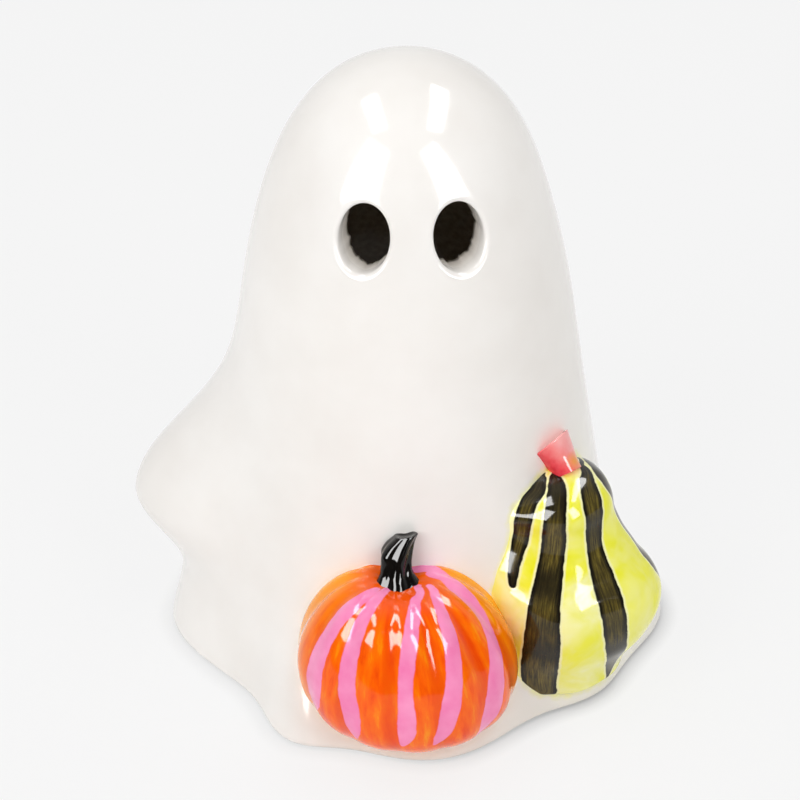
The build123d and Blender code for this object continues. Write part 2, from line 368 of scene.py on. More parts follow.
# %% Sizes of the pumpkin
PUMPKIN_SIZES = {
    "Middle X": 1.2,
    "Middle Y": -38.2,
    "Middle Z": 19.4,
    "Radius": 24.0,
    "Rise": 23.7,
    "Drop": 14.8,
    "Upper bend": 1.09,
    "Lower bend": 0.72,
    "Crown lean": -1.7,
    "Foot lean": 1.3,
    "Front shoulder": 3.4,
    "Ribs": 13.0,
    "Rib turn": math.radians(5.0),
    "Groove": 0.02,
    "Crown groove": 0.125,
    "Dimple radius": 6.0,
    "Dimple depth": 3.6,
}
SHOULDER_AT, SHOULDER_HIGH, SHOULDER_WIDE = 58.0, 20.0, 70.0  # latitude and both spreads, degrees
POLE_FADE = 8.0  # the swelling fades out within an eighth of the radius, so the crown closes
FULL_TURN = 2.0 * math.pi

# %% Start of a recipe
OPERATIONS = {  # what each kind of Math node does, for places that are worked out here
    "ADD": np.add, "SUBTRACT": np.subtract, "MULTIPLY": np.multiply, "DIVIDE": np.divide,
    "POWER": np.power, "MINIMUM": np.minimum, "ABSOLUTE": np.abs, "SQRT": np.sqrt,
    "SINE": np.sin, "COSINE": np.cos, "EXPONENT": np.exp,
    "GREATER_THAN": lambda a, b: np.where(a > b, 1.0, 0.0),
    "MULTIPLY_ADD": lambda a, b, c: a * b + c,
    "WRAP": lambda a, high, low: (a - low) % (high - low) + low,
}


def work_out(sums, known):
    """Points in millimetres from the same sums that bend the grid."""
    for label, operation, *terms in sums:
        known[label] = OPERATIONS[operation](*[known[t] if isinstance(t, str) else t for t in terms])
    return np.stack([known["x"], known["y"], known["z"]], axis=-1)


def new_recipe(name, sizes):
    """An empty Geometry Nodes tree with one named number for each size, and its known sockets."""
    tree = bpy.data.node_groups.new(name, "GeometryNodeTree")
    for label, value in sizes.items():
        tree.interface.new_socket(label, in_out="INPUT", socket_type="NodeSocketFloat").default_value = value
    tree.interface.new_socket("Glaze", in_out="INPUT", socket_type="NodeSocketMaterial")
    tree.interface.new_socket("Piece", in_out="OUTPUT", socket_type="NodeSocketGeometry")
    start = add(tree, "NodeGroupInput")
    known = {label: start.outputs[label] for label in list(sizes) + ["Glaze"]}
    return tree, known


def bend_grid(tree, known, sums, around, up):
    """Bends a flat grid by a list of sums, one Math node each, then closes its seam and sets its glaze."""
    grid = add(tree, "GeometryNodeMeshGrid", {}, {"Vertices X": around, "Vertices Y": up})
    place = add(tree, "GeometryNodeInputPosition")
    flat = add(tree, "ShaderNodeSeparateXYZ", {}, {0: place})
    known["flat x"], known["flat y"] = flat.outputs[0], flat.outputs[1]
    for label, operation, *terms in sums:
        terms = {k: known[t] if isinstance(t, str) else t for k, t in enumerate(terms)}
        known[label] = add(tree, "ShaderNodeMath", {"operation": operation}, terms).outputs[0]
    bent = add(tree, "ShaderNodeCombineXYZ", {}, {0: known["x"], 1: known["y"], 2: known["z"]})
    metres = add(tree, "ShaderNodeVectorMath", {"operation": "SCALE"}, {0: bent, "Scale": MM})
    kept = grid.outputs["Mesh"]
    for label in ("turn", "level"):
        store = add(tree, "GeometryNodeStoreNamedAttribute", {"data_type": "FLOAT", "domain": "POINT"},
                    {"Geometry": kept, "Name": label, "Value": known[label]})
        kept = store.outputs[0]
    shaped = add(tree, "GeometryNodeSetPosition", {}, {"Geometry": kept, "Position": metres})
    closed = add(tree, "GeometryNodeMergeByDistance", {}, {"Geometry": shaped, "Distance": 0.01 * MM})
    smooth = add(tree, "GeometryNodeSetShadeSmooth", {}, {0: closed})
    real = add(tree, "GeometryNodeRealizeInstances", {}, {0: smooth})
    dressed = add(tree, "GeometryNodeSetMaterial", {}, {"Geometry": real, "Material": known["Glaze"]})
    add(tree, "NodeGroupOutput", {}, {0: dressed})


def swelling(middle, level, wide, high):
    """Sums for "swell": 1 at one turn and level of the grid, dying out past both spreads."""
    return [
        ("turn past", "SUBTRACT", "turn", middle),
        ("off turn", "WRAP", "turn past", math.pi, -math.pi),
        ("off level", "SUBTRACT", "level", level),
        ("wide part", "DIVIDE", "off turn", wide),
        ("high part", "DIVIDE", "off level", high),
        ("wide square", "MULTIPLY", "wide part", "wide part"),
        ("both square", "MULTIPLY_ADD", "high part", "high part", "wide square"),
        ("fall", "MULTIPLY", "both square", -1.0),
        ("swell", "EXPONENT", "fall"),
    ]


# %% Recipe for a ribbed pumpkin
PUMPKIN_SUMS = [
    ("turn", "MULTIPLY", "flat x", FULL_TURN),
    ("level", "MULTIPLY", "flat y", math.pi),
    ("upper half", "GREATER_THAN", "level", 0.0),
    ("bend more", "SUBTRACT", "Upper bend", "Lower bend"),
    ("bend", "MULTIPLY_ADD", "upper half", "bend more", "Lower bend"),
    ("round belt", "COSINE", "level"),
    ("belt", "POWER", "round belt", "bend"),
    ("round rise", "SINE", "level"),
    ("plain rise", "ABSOLUTE", "round rise"),
    ("rise", "POWER", "plain rise", "bend"),
    ("up", "MULTIPLY", "rise", "upper half"),
    ("down", "SUBTRACT", "rise", "up"),
    ("rib start", "SUBTRACT", "turn", "Rib turn"),
    ("rib count", "MULTIPLY", "rib start", "Ribs"),
    ("rib wave", "COSINE", "rib count"),
    ("half wave", "MULTIPLY_ADD", "rib wave", -0.5, 0.5),
    ("dip", "POWER", "half wave", 1.5),
    ("crown share", "POWER", "up", 3.0),
    ("groove", "MULTIPLY_ADD", "crown share", "Crown groove", "Groove"),
    ("loss", "MULTIPLY", "dip", "groove"),
    ("kept", "SUBTRACT", 1.0, "loss"),
    ("round reach", "MULTIPLY", "belt", "Radius"),
    ("ribbed reach", "MULTIPLY", "round reach", "kept"),
    *swelling(0.0, math.radians(SHOULDER_AT), math.radians(SHOULDER_WIDE), math.radians(SHOULDER_HIGH)),
    ("past pole", "MULTIPLY", "belt", POLE_FADE),
    ("pole share", "MINIMUM", "past pole", 1.0),
    ("kept swell", "MULTIPLY", "swell", "pole share"),
    ("reach", "MULTIPLY_ADD", "kept swell", "Front shoulder", "ribbed reach"),
    ("aside", "SINE", "turn"),
    ("ahead", "COSINE", "turn"),
    ("reach aside", "MULTIPLY", "reach", "aside"),
    ("reach ahead", "MULTIPLY", "reach", "ahead"),
    ("leaning", "MULTIPLY_ADD", "up", "Crown lean", "reach aside"),
    ("footed", "MULTIPLY_ADD", "down", "Foot lean", "leaning"),
    ("x", "ADD", "footed", "Middle X"),
    ("y", "SUBTRACT", "Middle Y", "reach ahead"),
    ("dome", "MULTIPLY_ADD", "up", "Rise", "Middle Z"),
    ("fall away", "MULTIPLY", "down", "Drop"),
    ("whole", "SUBTRACT", "dome", "fall away"),
    ("near crown", "DIVIDE", "round reach", "Dimple radius"),
    ("near square", "MULTIPLY", "near crown", "near crown"),
    ("near fall", "MULTIPLY", "near square", -1.0),
    ("hollow", "EXPONENT", "near fall"),
    ("upper hollow", "MULTIPLY", "hollow", "upper half"),
    ("sunk", "MULTIPLY", "upper hollow", "Dimple depth"),
    ("z", "SUBTRACT", "whole", "sunk"),
]
pumpkin_tree, known = new_recipe("ribbed_pumpkin", PUMPKIN_SIZES)
bend_grid(pumpkin_tree, known, PUMPKIN_SUMS, around=280, up=141)
print("pumpkin recipe:", len(pumpkin_tree.nodes), "nodes")

# %% [markdown]
# ## Turning a recipe into a plain mesh
# The tree is put on an empty object as a modifier, its inputs are set, and the evaluated result is copied
# to a plain mesh, so nothing procedural is left for an export to lose.

# %% Bake a recipe


def bake_recipe(name, tree, sizes, material):
    """Evaluates a recipe once and gives back a plain mesh object."""
    maker = bpy.data.objects.new(name + "_maker", bpy.data.meshes.new(name + "_maker"))
    bpy.context.scene.collection.objects.link(maker)
    modifier = maker.modifiers.new("recipe", "NODES")
    modifier.node_group = tree
    for socket in tree.interface.items_tree:
        if socket.in_out == "INPUT" and socket.name in sizes:
            modifier[socket.identifier] = sizes[socket.name]
        if socket.in_out == "INPUT" and socket.name == "Glaze":
            modifier[socket.identifier] = material
    bpy.context.view_layer.update()
    ready = maker.evaluated_get(bpy.context.evaluated_depsgraph_get())
    mesh = bpy.data.meshes.new_from_object(ready)
    mesh.name = name
    maker.modifiers.remove(modifier)
    bpy.data.objects.remove(maker)
    piece = bpy.data.objects.new(name, mesh)
    bpy.context.scene.collection.objects.link(piece)
    return piece


def read_points(mesh):
    """A mesh's points in millimetres."""
    flat = np.zeros(len(mesh.vertices) * 3)
    mesh.vertices.foreach_get("co", flat)
    return flat.reshape(-1, 3) / MM


SINK, FILLET = 0.6, 0.9  # millimetres


def press_on_sheet(mesh):
    """Presses whatever lies inside the sheet back to just under its surface, with a soft fillet of glaze."""
    spots = read_points(mesh)
    aside, ahead = spots[:, 0] - AXIS_X, AXIS_Y - spots[:, 1]
    azimuth, reach = np.degrees(np.arctan2(aside, ahead)), np.hypot(aside, ahead)
    wall = sheet_radius(np.clip(spots[:, 2], 0.0, HEIGHT), azimuth)
    clear = reach - wall
    spots[:, 2] = np.where(clear < 0.0, np.maximum(spots[:, 2], HEM_ROUND), spots[:, 2])
    settled = 0.5 * (clear - SINK + np.sqrt(np.square(clear + SINK) + FILLET * FILLET))
    spots[:, 0] = AXIS_X + aside / reach * (wall + settled)
    spots[:, 1] = AXIS_Y - ahead / reach * (wall + settled)
    mesh.vertices.foreach_set("co", (spots * MM).ravel())
    mesh.update()
    return clear


# %% [markdown]
# ## Brush strokes
# The stripes were laid with a loaded round brush, one pull each from the crown down. A stripe is stored as
# a distance: each point of the mesh keeps how far inside the stroke's edge it lies, how far along and how
# far across. The course of a stroke is found by the same sums that bend the form's grid. The paint then
# draws crisp edges at any render size and can drag bristle streaks along.

# %% Distance to a stroke
STROKE_STEPS, STROKE_PASSES = 24, 60  # pieces between two places of a course, and smoothing passes


def smooth_table(table, count, passes):
    """A short table spread over more rows, its corners smoothed by running averages."""
    knots = np.array(table, dtype=float)
    at = np.linspace(0.0, len(knots) - 1.0, count)
    rows = np.stack([np.interp(at, np.arange(len(knots)), column) for column in knots.T], axis=-1)
    for _ in range(passes):
        rows[1:-1] = 0.25 * rows[:-2] + 0.5 * rows[1:-1] + 0.25 * rows[2:]
    return rows


def stroke_line(form, course):
    """The middle line of a stroke in millimetres, from a few places on a form, with its half widths."""
    turn, level, half = smooth_table(course, STROKE_STEPS * (len(course) - 1) + 1, STROKE_PASSES).T
    return form(np.radians(turn), level), half


def lay_strokes(spots, form, courses):
    """For each point: millimetres inside the nearest stroke's edge, along it, across it, and which it is."""
    edge = np.full(len(spots), -50.0)  # far outside any stroke
    along = np.zeros(len(spots))
    across = np.zeros(len(spots))
    which = np.zeros(len(spots))
    for number, course in enumerate(courses):
        line, half = stroke_line(form, course)
        run = np.concatenate([[0.0], np.cumsum(np.linalg.norm(np.diff(line, axis=0), axis=1))])
        near = np.full(len(spots), 1e9)
        here = [np.zeros(len(spots)) for _ in range(3)]
        for k in range(len(line) - 1):
            step = line[k + 1] - line[k]
            part = np.clip((spots - line[k]) @ step / (step @ step), 0.0, 1.0)
            away = spots - line[k] - part[:, None] * step
            distance = np.linalg.norm(away, axis=1)
            closer = distance < near
            near[closer] = distance[closer]
            here[0][closer] = (half[k] + part * (half[k + 1] - half[k]))[closer]
            here[1][closer] = (run[k] + part * (run[k + 1] - run[k]))[closer]
            here[2][closer] = np.where(away[:, 0] > 0.0, distance, -distance)[closer]
        inside = here[0] - near
        better = inside > edge
        edge[better], along[better], across[better] = inside[better], here[1][better], here[2][better]
        which[better] = number
    return {"stroke_edge": edge, "stroke_along": along, "stroke_across": across, "stroke_number": which}


# %% [markdown]
# ## Glazes
# All pieces are earthenware under a clear gloss glaze, so they share a wet, slightly uneven shine: a very
# low roughness and a thin coat. The index is matched to the object at 1.3, lower than the 1.5 of plain glass,
# which keeps the painted colours deep; bright cards behind the lamps bring the windows back. The colour is
# never quite even, because the pigments were brushed on by hand and pooled a little before firing.

# %% Start of a glaze


def new_glaze(name, roughness):
    """A material with a glossy ceramic shader, the tree to paint its colour in, and places on the piece."""
    material, tree = new_material(name)
    shader = add(tree, "ShaderNodeBsdfPrincipled", {}, {
        "Roughness": roughness, "IOR": 1.3, "Coat Weight": 0.25, "Coat Roughness": 0.02, "Coat IOR": 1.4,
    })
    add(tree, "ShaderNodeOutputMaterial", {}, {"Surface": shader})
    place = add(tree, "ShaderNodeTexCoord").outputs["Object"]
    return material, tree, shader, place


def finish_glaze(tree, shader, place, colour, size_mm, height_mm):
    """Joins the painted colour to the shader and adds the faint orange-peel ripple of a fired glaze."""
    ripple = add(tree, "ShaderNodeTexNoise", {},
                 {"Vector": place, "Scale": 1.0 / (size_mm * MM), "Detail": 1.0})
    bump = add(tree, "ShaderNodeBump", {}, {"Strength": 1.0, "Distance": height_mm * MM, "Height": ripple})
    for node, socket in ((colour, "Base Color"), (bump, "Normal"), (bump, "Coat Normal")):
        tree.links.new(first_output(node), shader.inputs[socket])
    print("glaze with", len(tree.nodes), "nodes")


# %% Ways to lay a colour


def mottle(tree, place, size_mm, detail, stops, distortion=0.0):
    """A colour that drifts through its stops in clouds of one size."""
    cloud = add(tree, "ShaderNodeTexNoise", {}, {
        "Vector": place, "Scale": 1.0 / (size_mm * MM), "Detail": detail, "Distortion": distortion,
    })
    colour = add(tree, "ShaderNodeValToRGB", {}, {"Fac": cloud})
    set_ramp(colour, stops)
    return colour


def brush_over(tree, under, over, value, start, end):
    """Lays one colour over another. Start and end pair a value with how much of the upper colour shows."""
    share = add(tree, "ShaderNodeMapRange", SMOOTH, {
        "Value": value, "From Min": start[0], "From Max": end[0], "To Min": start[1], "To Max": end[1],
    })
    return add(tree, "ShaderNodeMix", COLOURS, {"Factor": share, "A": under, "B": over})


def frayed_edge(tree, place, size_mm, depth_mm):
    """Millimetres inside the nearest stroke's edge, which the bristles left a little ragged."""
    stroke = add(tree, "ShaderNodeAttribute", {"attribute_name": "stroke_edge"})
    fray = add(tree, "ShaderNodeTexNoise", {},
               {"Vector": place, "Scale": 1.0 / (size_mm * MM), "Detail": 2.0})
    frayed = add(tree, "ShaderNodeMath", {"operation": "MULTIPLY_ADD"},
                 {0: fray, 1: depth_mm, 2: -depth_mm / 2.0})
    return add(tree, "ShaderNodeMath", {"operation": "ADD"}, {0: stroke.outputs["Fac"], 1: frayed})


# %% [markdown]
# ### White glaze on the ghost
# White earthenware under a clear gloss glaze: to the eye a warm white that is almost even, a touch creamier where
# the glaze is thick, and raw clay where it was wiped off the foot and never reached the inside. That raw clay is
# painted a darker tan than white clay would be, as painted shade inside the hollow body and the eyes.
# Beside the gourd a little of its lemon stain has bled into the white.

# %% White glaze
white_glaze, tree, shader, place = new_glaze("warm_white_ceramic_glaze", 0.12)
tint = mottle(tree, place, 22.0, 3.0, [(0.35, "#f1ede8"), (0.7, "#f7f4f0")])
# Raw clay, painted darker than white clay: painted shade inside the hollow body and the eyes.
raw_clay_and_painted_shade = mottle(tree, place, 1.2, 5.0, [(0.3, "#a0917c"), (0.7, "#b8aa96")])
cover, beside = (
    add(tree, "ShaderNodeAttribute", {"attribute_name": label}).outputs["Fac"]
    for label in ("glaze", "beside_gourd")
)
body = add(tree, "ShaderNodeMix", COLOURS, {"Factor": cover, "A": raw_clay_and_painted_shade, "B": tint})
puff = add(tree, "ShaderNodeTexNoise", {}, {"Vector": place, "Scale": 1.0 / (2.5 * MM), "Detail": 3.0})
uneven = add(tree, "ShaderNodeMath", {"operation": "MULTIPLY_ADD"}, {0: puff, 1: 2.4, 2: beside})
misted = brush_over(tree, body, paint("#f3f07e"), uneven, (0.9, 0.9), (3.4, 0.0))
shine = add(tree, "ShaderNodeMapRange", {}, {"Value": cover, "To Min": 0.8, "To Max": 0.12})
tree.links.new(shine.outputs[0], shader.inputs["Roughness"])
finish_glaze(tree, shader, place, misted, size_mm=5.0, height_mm=0.012)
ghost.data.materials.append(white_glaze)

# %% [markdown]
# ### Orange glaze and pink stripes
# The pumpkin's orange is a translucent stain, yellower toward the sheet, where it ran thin, and yellower toward
# the foot. The grooves between the ribs and the hollow round the stem are painted a deeper orange: painted shade.
# Five pink stripes of opaque underglaze follow the ribs.

# %% Orange glaze with pink stripes
orange_glaze, tree, shader, place = new_glaze("orange_stain_glaze_with_pink_stripes", 0.1)
turn, level, clear = (
    add(tree, "ShaderNodeAttribute", {"attribute_name": label}).outputs["Fac"]
    for label in ("turn", "level", "clear")
)
wrapped = add(tree, "ShaderNodeCombineXYZ", {}, {0: turn, 1: level})
drag = add(tree, "ShaderNodeMapping", {}, {"Vector": wrapped, "Scale": (9.0, 2.2, 1.0)})
pull = add(tree, "ShaderNodeTexNoise", {}, {"Vector": drag, "Scale": 1.0, "Detail": 4.0, "Roughness": 0.6})
stain = add(tree, "ShaderNodeValToRGB", {}, {"Fac": pull})
set_ramp(stain, [(0.34, "#f24a00"), (0.46, "#fd6000"), (0.58, "#ff7000"), (0.7, "#ff9206")])
ribs = PUMPKIN_SIZES["Ribs"]
# The grooves between the ribs are painted a deeper orange: painted shade.
rib_turn = add(tree, "ShaderNodeMath", {"operation": "MULTIPLY_ADD"},
               {0: turn, 1: ribs, 2: -ribs * PUMPKIN_SIZES["Rib turn"]})
rib_wave = add(tree, "ShaderNodeMath", {"operation": "COSINE"}, {0: rib_turn})
painted_shade = brush_over(tree, stain, paint("#ec4400"), rib_wave, (-1.0, 0.6), (-0.3, 0.0))
thin_fall = add(tree, "ShaderNodeMapRange", {},
                {"Value": clear, "From Min": 0.0, "From Max": 14.0, "To Min": 1.0, "To Max": 0.0})
foot_fall = add(tree, "ShaderNodeMapRange", {},
                {"Value": level, "From Min": -1.0, "From Max": -0.4, "To Min": 0.85, "To Max": 0.0})
thinnest = add(tree, "ShaderNodeMath", {"operation": "MAXIMUM"}, {0: thin_fall, 1: foot_fall})
edge_orange = add(tree, "ShaderNodeMix", COLOURS, {"Factor": thinnest, "A": painted_shade, "B": paint("#ffa806")})
# The hollow round the stem is painted a deeper orange: painted shade.
crown_painted_shade = brush_over(tree, edge_orange, paint("#f24c00"), level, (0.95, 0.0), (1.3, 0.85))
pink = mottle(tree, place, 5.0, 3.0, [(0.3, "#f67fb4"), (0.7, "#fd9ac6")])
stroke = frayed_edge(tree, place, size_mm=2.6, depth_mm=0.7)
striped = brush_over(tree, crown_painted_shade, pink, stroke, (-0.12, 0.0), (0.22, 1.0))
finish_glaze(tree, shader, place, striped, size_mm=3.0, height_mm=0.01)

# %% Bake and paint the pumpkin


def pumpkin_form(turn, latitude):
    """Points of the pumpkin before it is pressed on, by turn and by degrees of latitude."""
    return work_out(PUMPKIN_SUMS, PUMPKIN_SIZES | {"flat x": turn / FULL_TURN, "flat y": latitude / 180.0})


PINK_STRIPES = [  # turn and latitude in degrees, half width in millimetres
    [(-47, 75, 0.8), (-48, 63, 1.8), (-53, 54, 2.4), (-56, 38, 2.5), (-58, 25, 2.8), (-58, 13, 3.3),
     (-58, 5, 3.4), (-58, -3, 2.8), (-59, -11, 0.8)],
    [(-33, 79, 0.7), (-32, 73, 1.1), (-32, 66, 1.5), (-32, 55, 1.8), (-33, 45, 2.0), (-34, 33, 2.2),
     (-34, 23, 2.2), (-33, 14, 2.4), (-30, 3, 2.5), (-30, -6, 2.2), (-30, -18, 0.6)],
    [(53, 78, 0.7), (21, 70, 1.1), (10, 60, 1.7), (6, 50, 1.7), (3, 38, 1.7), (1, 27, 1.6),
     (0, 17, 1.6), (0, 4, 2.1), (-1, -5, 2.1), (-4, -17, 0.5)],
    [(62, 73, 0.7), (42, 63, 1.3), (36, 54, 1.9), (34, 43, 2.0), (31, 31, 1.9), (28, 21, 2.0),
     (24, 10, 2.2), (21, -1, 2.1), (16, -12, 1.6), (13, -18, 0.4)],
    [(135, 76, 1.0), (107, 69, 2.1), (83, 62, 2.3), (77, 52, 2.2), (73, 41, 2.2), (68, 32, 2.3),
     (62, 22, 2.4), (56, 12, 2.7), (52, 0, 3.0), (47, -10, 3.1), (42, -23, 1.0)],
]
pumpkin = bake_recipe("pumpkin_glazed", pumpkin_tree, PUMPKIN_SIZES, orange_glaze)
strokes = lay_strokes(read_points(pumpkin.data), pumpkin_form, PINK_STRIPES)
strokes["clear"] = press_on_sheet(pumpkin.data)
store_values(pumpkin.data, strokes)
print("pumpkin:", len(pumpkin.data.polygons), "faces")

# %% [markdown]
# ## The gourd
# The pear gourd follows a rule too: a profile of radius against height, four soft lobes, an axis that leans
# in toward the sheet, and a few swellings and hollows such as a thumb leaves when it presses the gourd on.
# A float curve inside the tree holds the profile.

# %% Sizes of the gourd
GOURD_AZIMUTH = 51.68
GOURD_SET_IN, GOURD_LEAN_IN = 2.5, 6.2
GOURD_PROFILE = [  # share of the height, radius in millimetres before the ends are rounded
    (0.00, 12.5), (0.04, 12.8), (0.13, 14.0), (0.28, 17.7), (0.42, 19.3),
    (0.50, 18.5), (0.62, 14.9), (0.78, 12.0), (0.90, 13.1), (1.00, 13.2),
]
WIDEST = 25.0
GOURD_OUT = math.radians(GOURD_AZIMUTH)
GOURD_SIZES = {
    "Foot X": AXIS_X + (CONE_RADIUS - GOURD_SET_IN) * math.sin(GOURD_OUT),
    "Foot Y": AXIS_Y - (CONE_RADIUS - GOURD_SET_IN) * math.cos(GOURD_OUT),
    "Lean X": -(GOURD_LEAN_IN - GOURD_SET_IN) * math.sin(GOURD_OUT),
    "Lean Y": (GOURD_LEAN_IN - GOURD_SET_IN) * math.cos(GOURD_OUT),
    "Lift": 2.5,
    "Height": 53.0,
    "Lobes": 4.0,
    "Groove": 0.075,
    "Lobe turn": math.radians(-14.0),
    "Crown tilt": 0.10,
}
GOURD_SWELLINGS = {  # turn in degrees, share of the height, spread of both, millimetres
    "Outer side": (100.0, 0.44, 40.0, 0.20, 1.5),
    "Outer foot": (80.0, 0.05, 40.0, 0.17, -1.9),
    "Outer shoulder": (95.0, 0.90, 46.0, 0.12, -2.5),
    "Inner side": (-60.0, 0.62, 34.0, 0.20, 8.4),
    "Inner foot": (-50.0, 0.12, 36.0, 0.16, 7.7),
    "Inner shoulder": (-70.0, 0.88, 36.0, 0.15, 3.4),
    "Back side": (-166.0, 0.62, 40.0, 0.17, 2.2),
    "Back shoulder": (-166.0, 0.92, 38.0, 0.15, -2.4),
}
GOURD_SIZES.update({label: entry[-1] for label, entry in GOURD_SWELLINGS.items()})
GOURD_FOOT_ROUND, GOURD_TOP_ROUND = 0.06, 0.17  # shares of the height
print("gourd: foot at x %.1f, y %.1f mm" % (GOURD_SIZES["Foot X"], GOURD_SIZES["Foot Y"]))

# %% Recipe for a lobed gourd
gourd_tree, known = new_recipe("lobed_gourd", GOURD_SIZES)
profile = add(gourd_tree, "ShaderNodeFloatCurve")
curve = profile.mapping.curves[0]
curve.points[0].location = (0.0, GOURD_PROFILE[0][1] / WIDEST)
curve.points[1].location = (1.0, GOURD_PROFILE[-1][1] / WIDEST)
for share, radius in GOURD_PROFILE[1:-1]:
    curve.points.new(share, radius / WIDEST)
profile.mapping.update()
known["profile"] = profile.outputs[0]
gourd_sums = [
    ("turn", "MULTIPLY", "flat x", FULL_TURN),
    ("half run", "MULTIPLY_ADD", "flat y", math.pi, math.pi / 2.0),
    ("run wave", "COSINE", "half run"),
    ("level", "MULTIPLY_ADD", "run wave", -0.5, 0.5),
    ("top down", "SUBTRACT", 1.0, "level"),
    ("plain reach", "MULTIPLY", "profile", WIDEST),
    ("lobe turn", "MULTIPLY", "turn", "Lobes"),
    ("lobe wave", "COSINE", "lobe turn"),
    ("half wave", "MULTIPLY_ADD", "lobe wave", -0.5, 0.5),
    ("dip", "POWER", "half wave", 1.5),
    ("loss", "MULTIPLY", "dip", "Groove"),
    ("kept", "SUBTRACT", 1.0, "loss"),
    ("reach", "MULTIPLY", "plain reach", "kept"),
]
for label, (middle, share, wide, high, _) in GOURD_SWELLINGS.items():
    gourd_sums += swelling(math.radians(middle), share, math.radians(wide), high)
    gourd_sums.append(("reach", "MULTIPLY_ADD", "swell", label, "reach"))
for end, round_share in (("level", GOURD_FOOT_ROUND), ("top down", GOURD_TOP_ROUND)):
    gourd_sums += [
        ("part", "DIVIDE", end, round_share),
        ("near", "MINIMUM", "part", 1.0),
        ("left", "SUBTRACT", 1.0, "near"),
        ("square", "MULTIPLY", "left", "left"),
        ("rest", "SUBTRACT", 1.0, "square"),
        ("round", "SQRT", "rest"),
        ("reach", "MULTIPLY", "reach", "round"),
    ]
gourd_sums += [
    ("facing", "ADD", "turn", "Lobe turn"),
    ("aside", "SINE", "facing"),
    ("ahead", "COSINE", "facing"),
    ("reach aside", "MULTIPLY", "reach", "aside"),
    ("reach ahead", "MULTIPLY", "reach", "ahead"),
    ("axis x", "MULTIPLY_ADD", "level", "Lean X", "Foot X"),
    ("axis y", "MULTIPLY_ADD", "level", "Lean Y", "Foot Y"),
    ("x", "ADD", "axis x", "reach aside"),
    ("y", "SUBTRACT", "axis y", "reach ahead"),
    ("top share", "POWER", "level", 6.0),
    ("tilt", "MULTIPLY", "top share", "Crown tilt"),
    ("plain z", "MULTIPLY_ADD", "level", "Height", "Lift"),
    ("z", "MULTIPLY_ADD", "reach aside", "tilt", "plain z"),
]
bend_grid(gourd_tree, known, gourd_sums, around=280, up=171)
gourd_tree.links.new(known["level"], profile.inputs["Value"])
print("gourd recipe:", len(gourd_tree.nodes), "nodes")

# %% [markdown]
# ### Yellow glaze and black stripes
# Lemon stain with paler clouds where it ran thin, and broad black stripes whose pigment was watery: olive
# and brown streaks show through where the bristles dragged, and a pale line is left along the edges.

# %% Yellow glaze with black stripes
yellow_glaze, tree, shader, place = new_glaze("lemon_stain_glaze_with_black_stripes", 0.09)
LEMONS = [(0.28, "#eceb1c"), (0.4, "#f0ee48"), (0.54, "#f4f288"), (0.7, "#faf8bc")]
lemon = mottle(tree, place, 11.0, 3.0, LEMONS, distortion=0.6)
along, across, number = (
    add(tree, "ShaderNodeAttribute", {"attribute_name": "stroke_" + label}).outputs["Fac"]
    for label in ("along", "across", "number")
)
stroke = frayed_edge(tree, place, size_mm=2.2, depth_mm=0.6)
bristle = add(tree, "ShaderNodeCombineXYZ", {}, {0: across, 1: along, 2: number})
drag = add(tree, "ShaderNodeMapping", {}, {"Vector": bristle, "Scale": (2.4, 0.16, 7.0)})
streak = add(tree, "ShaderNodeTexNoise", {}, {"Vector": drag, "Scale": 1.0, "Detail": 6.0, "Roughness": 0.72})
load = add(tree, "ShaderNodeMapping", {}, {"Vector": bristle, "Scale": (0.0, 0.085, 5.0)})
loaded = add(tree, "ShaderNodeTexNoise", {}, {"Vector": load, "Scale": 1.0, "Detail": 1.0})
thinned = add(tree, "ShaderNodeMapRange", SMOOTH,
              {"Value": loaded, "From Min": 0.36, "From Max": 0.6, "To Min": 0.35, "To Max": 1.0})
core = add(tree, "ShaderNodeMapRange", SMOOTH, {"Value": stroke, "From Min": 0.25, "From Max": 1.5})
shown = add(tree, "ShaderNodeMath", {"operation": "MULTIPLY"}, {0: core, 1: thinned})
watery = add(tree, "ShaderNodeMapRange", {}, {"Value": streak, "From Min": 0.3, "From Max": 0.68})
wash = add(tree, "ShaderNodeMath", {"operation": "MULTIPLY"}, {0: shown, 1: watery})
black = add(tree, "ShaderNodeValToRGB", {}, {"Fac": wash})
set_ramp(black, [(0.0, "#13100b"), (0.24, "#322c18"), (0.55, "#554a21"), (0.9, "#7a6c2e")])
pale = brush_over(tree, lemon, paint("#f5f3b8"), stroke, (-0.75, 0.0), (-0.15, 1.0))
striped = brush_over(tree, pale, black, stroke, (-0.1, 0.0), (0.15, 1.0))
finish_glaze(tree, shader, place, striped, size_mm=3.0, height_mm=0.012)

# %% Bake and paint the gourd


def gourd_form(turn, share):
    """Points of the gourd before it is pressed on, by turn and by share of the height."""
    reach = np.array([profile.mapping.evaluate(curve, part) for part in share])
    run = np.arccos(1.0 - 2.0 * share) / math.pi - 0.5
    return work_out(gourd_sums, GOURD_SIZES | {"flat x": turn / FULL_TURN, "flat y": run, "profile": reach})


